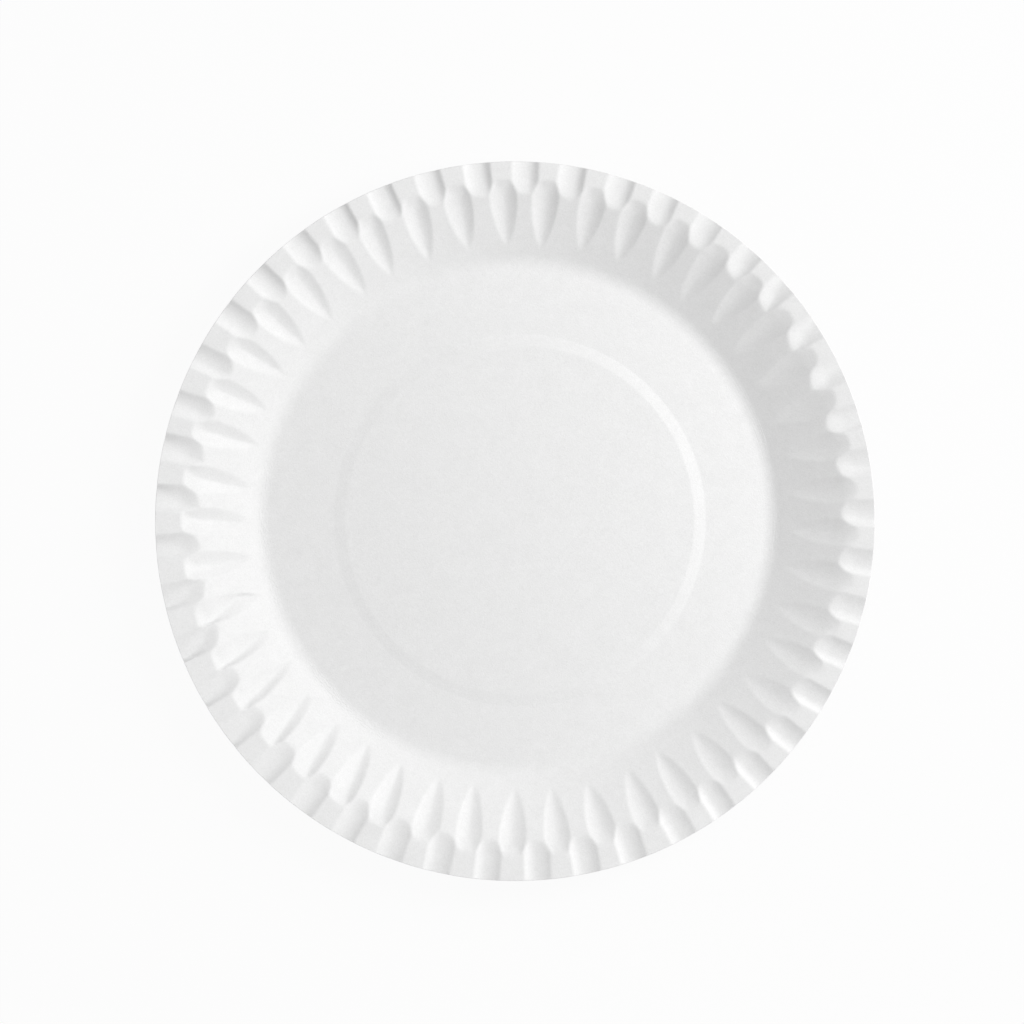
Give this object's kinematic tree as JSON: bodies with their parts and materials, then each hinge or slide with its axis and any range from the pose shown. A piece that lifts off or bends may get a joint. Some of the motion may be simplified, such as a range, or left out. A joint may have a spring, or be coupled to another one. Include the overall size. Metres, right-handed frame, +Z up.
{
  "type": "paper plate",
  "caption": "Round white pressed-board tray for serving food: flat middle, sloping wall and pleated flange, open at the top.",
  "frame": {"origin": "on the table, under the middle of the blank's round outline", "axes": "+Z up, out of the open dish; the pressed form's axis is parallel to Z, 1.3 mm along +X and 1.2 mm along +Y from it"},
  "size_m": [0.23, 0.23, 0.0167],
  "materials": {
    "white_board": "matte"
  },
  "bodies": {
    "root": {"tray": "white_board"}
  },
  "joints": []
}
